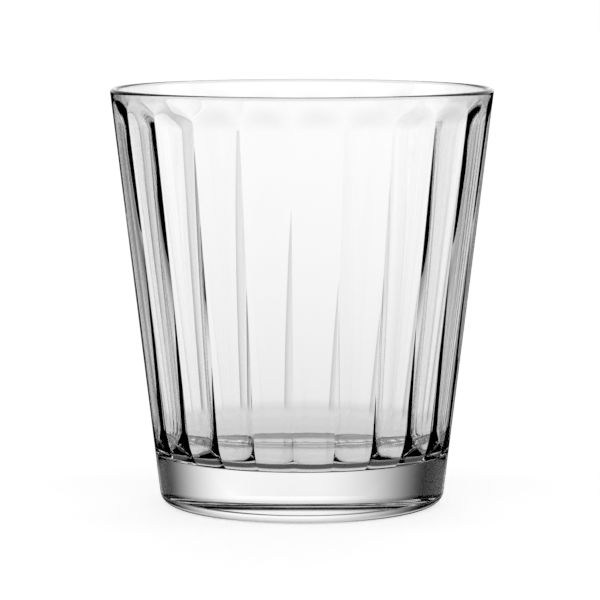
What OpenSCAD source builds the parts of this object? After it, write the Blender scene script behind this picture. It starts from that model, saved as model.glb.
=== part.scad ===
// Juice glass: a conical pressed tumbler with a smooth outside, a thick base and ribs
// down the inside of the wall, with grooves between them. It is one piece of clear glass.
// Millimetres, +Z up, origin in the middle of the base, on the table.

/* [Outside] */
// Height from the table to the top of the lip
height = 86; // [70:1:120]
// Diameter of the outside cone at the height of the lip
mouth_d = 79; // [72:0.5:90]
// Diameter of the outside cone at the table, before the heel is rounded off
foot_d = 58.4; // [52:0.2:66]
// Radius of the rounded heel
heel_r = 2.6; // [1.5:0.1:4]

/* [Base] */
// Height of the inside floor above the table
floor_z = 10.3; // [8:0.1:16]
// Radius of the round between the inside floor and the wall
corner_r = 6; // [3:0.1:8]
// Width of the flat ring that the glass stands on
ring_w = 2.4; // [1:0.1:5]
// Height of the shallow hollow under the base
hollow_h = 0.8; // [0.3:0.1:2]

/* [Wall] */
// Thickness of the smooth band and its rounded lip
lip_t = 1.4; // [1:0.1:2.4]
// Height of the smooth band under the top of the lip
band_h = 1.6; // [1.4:0.1:5]
// Thickness of the wall behind the foot of a groove
wall_low = 2.4; // [1.8:0.1:3.4]

/* [Ribs] */
// Number of ribs round the inside
rib_count = 23; // [16:1:28]
// How far the ribs stand in from the grooves at the smooth band
rib_top = 0.6; // [0.4:0.05:1]
// How far the ribs stand in from the grooves at their foot
rib_low = 0.9; // [0.6:0.05:1.3]
// Height over which the ribs rise out of the smooth band
fade_h = 8; // [4:0.5:14]
// Slope of a groove's two faces to the wall, in degrees
groove_slope = 18; // [14:0.5:26]
// Slope of the end of a groove to its bottom, in degrees
end_slope = 45; // [30:1:60]
// Height of plain wall between the round in the corner and the grooves
groove_gap = 0.5; // [0.3:0.1:4]
// How far the grooves start inside the smooth band
groove_inset = 0.1; // [0.05:0.05:0.3]
// Turn of the grooves about the axis, in degrees
groove_turn = 0.8; // [-8:0.1:8]

/* [Hidden] */
glass_colour = [0.87, 0.91, 0.91, 0.45];
round_steps = 240;
groove_over = 3;

// Outside cone: its radius at a height, and its lean from the upright
function outer_r(z) = (foot_d + (mouth_d - foot_d) * z / height) / 2;
lean = atan((mouth_d - foot_d) / 2 / height);

// Heel: a round that touches the table and the outside cone
heel_x = outer_r(heel_r) - heel_r / cos(lean);
ring_x = heel_x - ring_w;
hollow_r = (ring_x * ring_x + hollow_h * hollow_h) / 2 / hollow_h;

// Lip: a half round over the smooth band, whose two faces are parallel
lip_r = lip_t / 2;
lip_z = height - lip_r;
lip_x = outer_r(lip_z) - lip_r / cos(lean);
function band_r(z) = outer_r(z) - lip_t / cos(lean);

// Ribs: the line of the grooves' bottoms and the crest line, from the smooth band to the foot
corner_z = floor_z + corner_r;
foot_z = corner_z + groove_gap + rib_low / tan(end_slope);
top_z = height - band_h;
foot_r = outer_r(foot_z) - wall_low / cos(lean);
top_r = band_r(top_z) - groove_inset;
function on_line(z, r0, r1) = r0 + (r1 - r0) * (z - foot_z) / (top_z - foot_z);
function crest_r(z) = on_line(z, foot_r - rib_low, top_r - rib_top);

// Groove: a wedge along the line of its bottom, several times as deep as the ribs are high
groove_lean = atan((top_r - foot_r) / (top_z - foot_z));
groove_d = groove_over * max(rib_low, rib_top);
groove_half = groove_d / tan(groove_slope);
groove_l = (height - foot_z) / cos(groove_lean);
end_side = 4 * groove_half;

// Inside corner: a round that touches the floor and the crest line
crest_lean = atan((crest_r(top_z) - crest_r(foot_z)) / (top_z - foot_z));
corner_x = crest_r(corner_z) - corner_r / cos(crest_lean);

// A point on a round, at an angle from the outward direction
function on_round(x, z, r, angle) = [x + r * cos(angle), z + r * sin(angle)];

// Half section of the glass without its grooves
module wall_section() {
    difference() {
        union() {
            difference() {
                polygon([
                    [0, 0],
                    [heel_x, 0],
                    on_round(heel_x, heel_r, heel_r, -lean),
                    on_round(lip_x, lip_z, lip_r, -lean),
                    on_round(lip_x, lip_z, lip_r, 180 - lean),
                    [band_r(top_z), top_z],
                    [crest_r(top_z - fade_h), top_z - fade_h],
                    on_round(corner_x, corner_z, corner_r, -crest_lean),
                    [corner_x, floor_z],
                    [0, floor_z]
                ]);
                translate([corner_x, corner_z])
                    circle(corner_r, $fn = round_steps);
            }
            translate([heel_x, heel_r])
                circle(heel_r, $fn = round_steps);
            translate([lip_x, lip_z])
                circle(lip_r, $fn = round_steps);
        }
        translate([0, hollow_h - hollow_r])
            circle(hollow_r, $fn = 4 * round_steps);
    }
}

// One groove: a long wedge that leans with the wall, with a sloping end at its foot
module groove() {
    translate([foot_r, 0, foot_z])
        rotate([0, groove_lean, 0])
            difference() {
                translate([0, 0, -groove_half])
                    linear_extrude(groove_half + groove_l)
                        polygon([[0, 0], [-groove_d, groove_half], [-groove_d, -groove_half]]);
                rotate([0, end_slope - 90, 0])
                    translate([-end_side / 2, -end_side / 2, -end_side])
                        cube(end_side);
            }
}

// The glass with some of its grooves, cut one after the other
module grooved(count) {
    if (count == 0)
        rotate_extrude($fn = round_steps)
            wall_section();
    else
        difference() {
            grooved(count - 1);
            rotate(groove_turn + 360 / rib_count * count)
                groove();
        }
}

module tumbler() {
    color(glass_colour)
        grooved(rib_count);
}

tumbler();
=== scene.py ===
"""Clear pressed juice glass on a pale table, seen from a little above its rim."""

import math

import bpy
import numpy as np
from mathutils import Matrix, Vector


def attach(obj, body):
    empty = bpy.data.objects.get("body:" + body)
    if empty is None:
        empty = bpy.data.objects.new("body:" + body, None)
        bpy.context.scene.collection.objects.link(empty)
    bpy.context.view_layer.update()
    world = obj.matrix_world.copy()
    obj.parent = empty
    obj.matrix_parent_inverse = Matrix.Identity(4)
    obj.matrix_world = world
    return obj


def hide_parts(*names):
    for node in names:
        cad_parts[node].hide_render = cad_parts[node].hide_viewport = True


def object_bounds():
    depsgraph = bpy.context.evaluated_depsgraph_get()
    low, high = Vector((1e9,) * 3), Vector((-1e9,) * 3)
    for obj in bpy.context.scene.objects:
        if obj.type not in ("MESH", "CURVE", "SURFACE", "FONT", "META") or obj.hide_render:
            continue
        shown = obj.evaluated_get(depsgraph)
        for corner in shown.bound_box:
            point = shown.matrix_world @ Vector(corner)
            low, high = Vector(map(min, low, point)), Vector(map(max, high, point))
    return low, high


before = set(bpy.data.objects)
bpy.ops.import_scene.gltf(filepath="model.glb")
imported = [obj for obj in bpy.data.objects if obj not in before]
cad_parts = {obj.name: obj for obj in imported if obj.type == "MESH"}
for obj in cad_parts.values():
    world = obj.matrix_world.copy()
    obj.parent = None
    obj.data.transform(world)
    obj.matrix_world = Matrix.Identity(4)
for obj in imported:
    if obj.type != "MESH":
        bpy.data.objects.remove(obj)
cad_low, cad_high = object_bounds()

MM = 0.001

# Outside of the glass: a cone with a rounded heel, and a flat ring round the hollow under the base.
# The height and the widest radius come from the frame.
HEIGHT = cad_high.z
WIDEST_R = cad_high.x
FOOT_R = 29.2 * MM
HEEL_R = 2.6 * MM
RING_W = 2.4 * MM
HOLLOW_H = 0.8 * MM

# Inside of the glass: the floor and the round in its corner, the lip, the smooth band under the
# lip, and the wall behind the foot of a groove
FLOOR_Z = 10.3 * MM
CORNER_R = 6.0 * MM
CORNER_H = 8.5 * MM
LIP_T = 1.4 * MM
BAND_H = 1.6 * MM
WALL_LOW = 2.2 * MM

# Ribs down the inside, with a groove between each two. A power of 2 makes a rib a parabola across,
# and a higher one makes it flatter in the middle. A rib fades into the smooth band in an arch.
RIBS = 23
RIB_TOP = 0.4 * MM
RIB_LOW = 0.8 * MM
RIB_POWER = 2.5
FADE_H = 5.0 * MM
ARCH_H = 1.0 * MM
FRONT_GROOVE = math.radians(-3.1)

# Rows of the mesh in each part of the glass, and its columns in each rib. A power above 1 gathers
# the columns at the grooves.
HOLLOW_ROWS = 13
RING_ROWS = 2
HEEL_ROWS = 12
OUTSIDE_ROWS = 10
LIP_ROWS = 15
BAND_ROWS = 5
FADE_ROWS = 35
WALL_ROWS = 30
CORNER_ROWS = 40
FLOOR_ROWS = 5
RIB_COLUMNS = 20
COLUMN_POWER = 1.6

# Glass, with the size and depth of the ripple in its surface
GLASS_IOR = 1.52
RIPPLE_SCALE = 70.0
RIPPLE_DEPTH = 0.02 * MM

# Photograph: the side of its frame and the width of the rim in it, in pixels
PHOTO_SIDE = 600
RIM_PIXELS = 382.5

# Camera: its distance from the axis in metres, its rise over the lip as a share of that, its aim,
# and the width of its sensor in millimetres
CAMERA_D = 0.6966
CAMERA_RISE = 0.0496
AIM = Vector((-0.0004, 0.0, 0.489 * HEIGHT))
SENSOR = 36.0

# Studio: the brightness of the panels behind the glass, behind the camera and at the sides, and of
# the ceiling, with the angles in degrees between which each fades. Angles to the right and left are
# from the line of sight, and the others are from the horizon.
BACKDROP = 1.05
BACK_RIGHT = (16.7, 60.0)
BACK_LEFT = (2.7, 47.0)
FRONT = 0.75
FRONT_SIDES = (45.0, 80.0)
PANEL_HIGH = 0.8
PANEL_RISE = (6.0, 16.0)
SIDE = 1.0
SIDE_FROM = (74.0, 82.0)
OVERHEAD = 0.5
OVERHEAD_FROM = (45.0, 60.0)

# Table as the camera sees it: half its side in metres, its gap under the foot, its colour, and the
# part of its white that takes a shadow
TABLE_HALF = 3.0
TABLE_GAP = 0.02 * MM
TABLE_COLOUR = (0.9, 0.9, 0.9, 1.0)
TABLE_SHADE = 0.4

# Table as the glass sees it: a painted glow that grows brighter with the distance from the axis,
# up to its reach, with painted shade near the glass and a painted shadow ring where the foot
# stands.
# Distances are in metres. It turns into a mirror, tinted with the same painted shade, for rays that
# graze it, between two angles in degrees.
TABLE_PAINTED_GLOW = 0.95
TABLE_REACH = 1.0
TABLE_POWER = 0.07
NEAR = (0.03, 0.10)
PAINTED_NEAR_SHADE = 0.86
PAINTED_SHADOW_INNER = (0.021, 0.024)
PAINTED_SHADOW_OUTER = (0.031, 0.034)
PAINTED_SHADOW_SHADE = 0.12
MIRROR_FROM = 20.0
MIRROR_FULL = 10.0

# Derived sizes
LIP_R = LIP_T / 2
LIP_Z = HEIGHT - LIP_R
LEAN = math.atan((WIDEST_R - FOOT_R) / LIP_Z)
HEEL_X = FOOT_R + HEEL_R * math.tan(LEAN) - HEEL_R / math.cos(LEAN)
RING_X = HEEL_X - RING_W
FOOT_Z = FLOOR_Z + CORNER_H
TOP_Z = HEIGHT - BAND_H
HALF_PITCH = math.pi / RIBS


def outer_r(z):
    """Radius of the outside cone."""
    return FOOT_R + z * math.tan(LEAN)


def band_r(z):
    """Radius of the smooth band's inside."""
    return outer_r(z) - LIP_T / math.cos(LEAN)


# Line of the grooves' bottoms, and where the round in the corner meets it
FOOT_GROOVE_R = outer_r(FOOT_Z) - WALL_LOW / math.cos(LEAN)
TOP_GROOVE_R = band_r(TOP_Z)
GROOVE_LEAN = math.atan((TOP_GROOVE_R - FOOT_GROOVE_R) / (TOP_Z - FOOT_Z))
CORNER_TURN = math.atan(math.tan(GROOVE_LEAN) * CORNER_H / CORNER_R)
CORNER_TOP = FOOT_Z - CORNER_H * math.sin(CORNER_TURN)


def arc(x, z, radius, start, end, steps):
    """Points on a round, from one angle to another, in degrees from the outward direction."""
    angles = np.radians(np.linspace(start, end, steps))
    return [(x + radius * math.cos(a), z + radius * math.sin(a)) for a in angles]


def line(start, end, steps):
    """Points from start to end, without the first."""
    return [tuple(np.array(start) + (np.array(end) - np.array(start)) * i / steps)
            for i in range(1, steps + 1)]


def steps_after(start, end, steps):
    """Even steps from start to end, without the first."""
    return np.linspace(start, end, steps + 1)[1:]


def on_line(z, low, top):
    """Value at a height on the straight line from the ribs' foot to the smooth band."""
    return low + (top - low) * (z - FOOT_Z) / (TOP_Z - FOOT_Z)


def groove_r(z):
    """Radius of the bottoms of the grooves."""
    return on_line(z, FOOT_GROOVE_R, TOP_GROOVE_R)


def rib_height(z, across):
    """How far a rib stands in from its grooves, by the share of the way from its middle.

    It rises out of the smooth band, later towards the grooves, so that its top is an arch.
    """
    share = np.clip((TOP_Z - ARCH_H * across ** 2 - z) / FADE_H, 0, 1)
    risen = share ** 2 * (3 - 2 * share)
    return on_line(z, RIB_LOW, RIB_TOP) * (1 - across ** RIB_POWER) * risen


def outside_profile():
    """Points of the half section from the middle of the underside to the inner end of the lip."""
    lean = math.degrees(LEAN)
    hollow = [(RING_X * t, HOLLOW_H * (1 - t * t)) for t in np.linspace(0, 1, HOLLOW_ROWS)]
    ring = line((RING_X, 0), (HEEL_X, 0), RING_ROWS)
    heel = arc(HEEL_X, HEEL_R, HEEL_R, -90, -lean, HEEL_ROWS)[1:]
    lip = arc(WIDEST_R - LIP_R, LIP_Z, LIP_R, -lean, 180 - lean, LIP_ROWS)
    wall = line(heel[-1], lip[0], OUTSIDE_ROWS)
    return hollow + ring + heel + wall + lip[1:]


def wall_rings(across):
    """Rings of the inside from the lip down to the round in the corner."""
    band = steps_after(LIP_Z, TOP_Z, BAND_ROWS)
    fade = steps_after(TOP_Z, TOP_Z - ARCH_H - FADE_H, FADE_ROWS)
    wall = steps_after(fade[-1], CORNER_TOP, WALL_ROWS)
    rings = [(np.full_like(across, band_r(z)), z) for z in band]
    return rings + [(groove_r(z) - rib_height(z, across), z) for z in np.concatenate([fade, wall])]


def corner_rings(across):
    """Rings of the round in the corner. The ribs run out along it, to the floor."""
    rib = rib_height(CORNER_TOP, across)
    middle = groove_r(CORNER_TOP) - CORNER_R * math.cos(CORNER_TURN)
    rings = []
    for share in steps_after(0, 1, CORNER_ROWS):
        turn = CORNER_TURN + (math.pi / 2 - CORNER_TURN) * share
        radii = middle + CORNER_R * math.cos(turn) - rib * (1 - share ** 2)
        rings.append((radii, FLOOR_Z + CORNER_H * (1 - math.sin(turn))))
    return rings


def rib_columns():
    """Angles from a groove across one pitch of the ribs, closer together at the groove."""
    share = np.linspace(-1, 1, RIB_COLUMNS, endpoint=False)
    return np.sign(share) * np.abs(share) ** COLUMN_POWER * HALF_PITCH


def tumbler_rings():
    """Turns of the columns round the glass, and rings of radii at a height.

    The rings go from the underside, over the lip, to the inside floor.
    """
    from_groove = rib_columns()
    from_middle = 1 - np.abs(from_groove) / HALF_PITCH
    turns = (2 * HALF_PITCH * np.arange(RIBS)[:, None] + from_groove + FRONT_GROOVE).ravel()
    rings = [(np.full(turns.size, r), z) for r, z in outside_profile()[1:]]
    inside = wall_rings(from_middle) + corner_rings(from_middle)
    rings += [(np.tile(radii, RIBS), z) for radii, z in inside]
    edge = rings[-1][0]
    rings += [(edge * (1 - i / FLOOR_ROWS), FLOOR_Z) for i in range(1, FLOOR_ROWS)]
    return turns, rings


def ring_faces(columns, rows):
    """Faces between the rings, and to one point before the first and one after the last."""
    last = 1 + (rows - 1) * columns
    faces = []
    for j in range(columns):
        k = (j + 1) % columns
        faces.append((0, 1 + k, 1 + j))
        for i in range(rows - 1):
            low = 1 + i * columns
            high = low + columns
            faces.append((low + j, low + k, high + k, high + j))
        faces.append((last + j, last + k, last + columns))
    return faces


def tumbler_mesh():
    """The glass as one closed mesh."""
    turns, rings = tumbler_rings()
    points = [(0, 0, HOLLOW_H)]
    for r, z in rings:
        points += zip(r * np.sin(turns), -r * np.cos(turns), np.full(turns.size, z))
    points.append((0, 0, FLOOR_Z))
    mesh = bpy.data.meshes.new("tumbler_glass")
    mesh.from_pydata(points, [], ring_faces(turns.size, len(rings)))
    mesh.validate()
    mesh.shade_smooth()
    return mesh


def new_tree(data):
    """The emptied node tree of a material or world."""
    data.use_nodes = True
    data.node_tree.nodes.clear()
    return data.node_tree


def node(tree, kind, **settings):
    """A new node with some of its settings."""
    made = tree.nodes.new(kind)
    for name, value in settings.items():
        setattr(made, name, value)
    return made


def number(tree, operation, *values):
    """A math node on numbers or sockets, and its result."""
    made = node(tree, "ShaderNodeMath", operation=operation)
    for socket, value in zip(made.inputs, values):
        if isinstance(value, (int, float)):
            socket.default_value = value
        else:
            tree.links.new(value, socket)
    return made.outputs[0]


def between(tree, share, first, second):
    """The first number where the share is 1, and the second where it is 0."""
    rest = number(tree, "SUBTRACT", 1.0, share)
    first = number(tree, "MULTIPLY", first, share)
    second = number(tree, "MULTIPLY", second, rest)
    return number(tree, "ADD", first, second)


def degrees(tree, angle):
    """An angle in degrees."""
    return number(tree, "MULTIPLY", angle, math.degrees(1))


def ramp(tree, value, start, end, low, high):
    """A smooth step of a value, from low at start to high at end."""
    made = node(tree, "ShaderNodeMapRange", interpolation_type="SMOOTHSTEP")
    tree.links.new(value, made.inputs["Value"])
    made.inputs["From Min"].default_value = start
    made.inputs["From Max"].default_value = end
    made.inputs["To Min"].default_value = low
    made.inputs["To Max"].default_value = high
    return made.outputs["Result"]


def mixed(tree, share, first, second):
    """A mix of two shaders."""
    made = node(tree, "ShaderNodeMixShader")
    tree.links.new(share, made.inputs["Fac"])
    tree.links.new(first, made.inputs[1])
    tree.links.new(second, made.inputs[2])
    return made.outputs["Shader"]


def emission(tree, strength):
    """White light of a strength, which is a number or a socket."""
    made = node(tree, "ShaderNodeEmission")
    if isinstance(strength, float):
        made.inputs["Strength"].default_value = strength
    else:
        tree.links.new(strength, made.inputs["Strength"])
    return made.outputs["Emission"]


def glass_material():
    """Clear fire-polished glass with the faint ripple that pressing leaves."""
    material = bpy.data.materials.new("clear_glass")
    tree = new_tree(material)
    shader = node(tree, "ShaderNodeBsdfPrincipled")
    shader.inputs["Base Color"].default_value = (1.0, 1.0, 1.0, 1.0)
    shader.inputs["Transmission Weight"].default_value = 1.0
    shader.inputs["IOR"].default_value = GLASS_IOR
    shader.inputs["Roughness"].default_value = 0.0
    where = node(tree, "ShaderNodeTexCoord")
    ripple = node(tree, "ShaderNodeTexNoise")
    ripple.inputs["Scale"].default_value = RIPPLE_SCALE
    ripple.inputs["Detail"].default_value = 1.0
    tree.links.new(where.outputs["Object"], ripple.inputs["Vector"])
    bump = node(tree, "ShaderNodeBump")
    bump.inputs["Strength"].default_value = 1.0
    bump.inputs["Distance"].default_value = RIPPLE_DEPTH
    tree.links.new(ripple.outputs["Fac"], bump.inputs["Height"])
    tree.links.new(bump.outputs["Normal"], shader.inputs["Normal"])
    out = node(tree, "ShaderNodeOutputMaterial")
    tree.links.new(shader.outputs["BSDF"], out.inputs["Surface"])
    return material


def make_tumbler():
    """The glass, in the place of its solid."""
    mesh = tumbler_mesh()
    mesh.materials.append(glass_material())
    tumbler = bpy.data.objects.new("tumbler_glass", mesh)
    bpy.context.scene.collection.objects.link(tumbler)
    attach(tumbler, "root")
    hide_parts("tumbler")


def studio_light(tree):
    """Brightness of the studio by direction: four panels with dark gaps, and a ceiling."""
    where = node(tree, "ShaderNodeTexCoord")
    axes = node(tree, "ShaderNodeSeparateXYZ")
    tree.links.new(where.outputs["Generated"], axes.inputs["Vector"])
    x, y, z = axes.outputs
    across = number(tree, "MULTIPLY", x, number(tree, "SIGN", y))
    turn = degrees(tree, number(tree, "ARCTAN2", across, number(tree, "ABSOLUTE", y)))
    aside = number(tree, "ABSOLUTE", turn)
    rise = degrees(tree, number(tree, "ARCSINE", z))
    right = ramp(tree, turn, *BACK_RIGHT, BACKDROP, 0.0)
    left = ramp(tree, number(tree, "MULTIPLY", turn, -1.0), *BACK_LEFT, 1.0, 0.0)
    back = number(tree, "MULTIPLY", right, left)
    front = ramp(tree, aside, *FRONT_SIDES, FRONT, 0.0)
    panel = between(tree, number(tree, "GREATER_THAN", y, 0.0), back, front)
    panel = number(tree, "MULTIPLY", panel, ramp(tree, rise, *PANEL_RISE, 1.0, PANEL_HIGH))
    panel = number(tree, "MAXIMUM", panel, ramp(tree, aside, *SIDE_FROM, 0.0, SIDE))
    return between(tree, ramp(tree, rise, *OVERHEAD_FROM, 0.0, 1.0), OVERHEAD, panel)


def make_world():
    """White for the camera, and the studio for the light and the glass."""
    world = bpy.data.worlds.new("studio")
    bpy.context.scene.world = world
    tree = new_tree(world)
    path = node(tree, "ShaderNodeLightPath")
    strength = between(tree, path.outputs["Is Camera Ray"], 1.0, studio_light(tree))
    shader = node(tree, "ShaderNodeBackground")
    shader.inputs["Color"].default_value = (1.0, 1.0, 1.0, 1.0)
    tree.links.new(strength, shader.inputs["Strength"])
    out = node(tree, "ShaderNodeOutputWorld")
    tree.links.new(shader.outputs["Background"], out.inputs["Surface"])


def facing(angle):
    """Facing value of a floor seen from an angle above it, in degrees."""
    return 1 - math.sin(math.radians(angle))


def painted_table_shade(tree):
    """Painted brightness of the table for the glass: painted shadow at the foot, paler further
    away.
    """
    where = node(tree, "ShaderNodeTexCoord")
    length = node(tree, "ShaderNodeVectorMath", operation="LENGTH")
    tree.links.new(where.outputs["Object"], length.inputs[0])
    away = length.outputs["Value"]
    # Painted falloff: the table is paler further from the axis
    reach = number(tree, "DIVIDE", number(tree, "MAXIMUM", away, NEAR[0]), TABLE_REACH)
    pale = number(tree, "MINIMUM", number(tree, "POWER", reach, TABLE_POWER), 1.0)
    # Painted shade near the glass
    pale = number(tree, "MULTIPLY", pale, ramp(tree, away, *NEAR, PAINTED_NEAR_SHADE, 1.0))
    # Painted shadow ring where the foot stands
    inner = ramp(tree, away, *PAINTED_SHADOW_INNER, 1.0, PAINTED_SHADOW_SHADE)
    outer = ramp(tree, away, *PAINTED_SHADOW_OUTER, PAINTED_SHADOW_SHADE, 1.0)
    return number(tree, "MULTIPLY", pale, number(tree, "MAXIMUM", inner, outer))


def table_material():
    """Pale polished table: white to the camera, a painted glow and shade to the glass, a mirror at
    a graze.
    """
    material = bpy.data.materials.new("pale_table")
    tree = new_tree(material)
    path = node(tree, "ShaderNodeLightPath")
    matt = node(tree, "ShaderNodeBsdfDiffuse")
    matt.inputs["Color"].default_value = TABLE_COLOUR
    pale = node(tree, "ShaderNodeAddShader")
    tree.links.new(matt.outputs["BSDF"], pale.inputs[0])
    tree.links.new(emission(tree, 1 - TABLE_SHADE), pale.inputs[1])
    # Painted shade and painted glow of the table, for rays through the glass only; the mirror takes
    # the painted shade as its colour
    painted_shade = number(tree, "MULTIPLY", painted_table_shade(tree), path.outputs["Is Transmission Ray"])
    painted_glow = emission(tree, number(tree, "MULTIPLY", painted_shade, TABLE_PAINTED_GLOW))
    polish = node(tree, "ShaderNodeBsdfGlossy")
    polish.inputs["Roughness"].default_value = 0.0
    tree.links.new(painted_shade, polish.inputs["Color"])
    graze = node(tree, "ShaderNodeLayerWeight")
    graze.inputs["Blend"].default_value = 0.5
    share = ramp(tree, graze.outputs["Facing"], facing(MIRROR_FROM), facing(MIRROR_FULL), 0.0, 1.0)
    through = mixed(tree, share, painted_glow, polish.outputs["BSDF"])
    surface = mixed(tree, path.outputs["Is Camera Ray"], through, pale.outputs["Shader"])
    out = node(tree, "ShaderNodeOutputMaterial")
    tree.links.new(surface, out.inputs["Surface"])
    return material


def make_table():
    """A flat table just under the foot."""
    mesh = bpy.data.meshes.new("table")
    corners = [(x * TABLE_HALF, y * TABLE_HALF, -TABLE_GAP)
               for x, y in ((-1, -1), (1, -1), (1, 1), (-1, 1))]
    mesh.from_pydata(corners, [], [(0, 1, 2, 3)])
    mesh.materials.append(table_material())
    table = bpy.data.objects.new("table", mesh)
    bpy.context.scene.collection.objects.link(table)


def make_camera():
    """The photograph's view, with the rim as wide in the frame as it is there."""
    data = bpy.data.cameras.new("photo_camera")
    camera = bpy.data.objects.new("photo_camera", data)
    bpy.context.scene.collection.objects.link(camera)
    rise = CAMERA_RISE * CAMERA_D
    camera.location = (0.0, -CAMERA_D, HEIGHT + rise)
    camera.rotation_mode = "QUATERNION"
    camera.rotation_quaternion = (AIM - camera.location).to_track_quat("-Z", "Y")
    rim_angle = 2 * WIDEST_R / math.hypot(CAMERA_D, rise)
    data.sensor_width = SENSOR
    data.lens = RIM_PIXELS / rim_angle / PHOTO_SIDE * SENSOR
    bpy.context.scene.camera = camera


make_tumbler()
make_world()
make_table()
make_camera()
bpy.context.scene.view_settings.view_transform = "Standard"
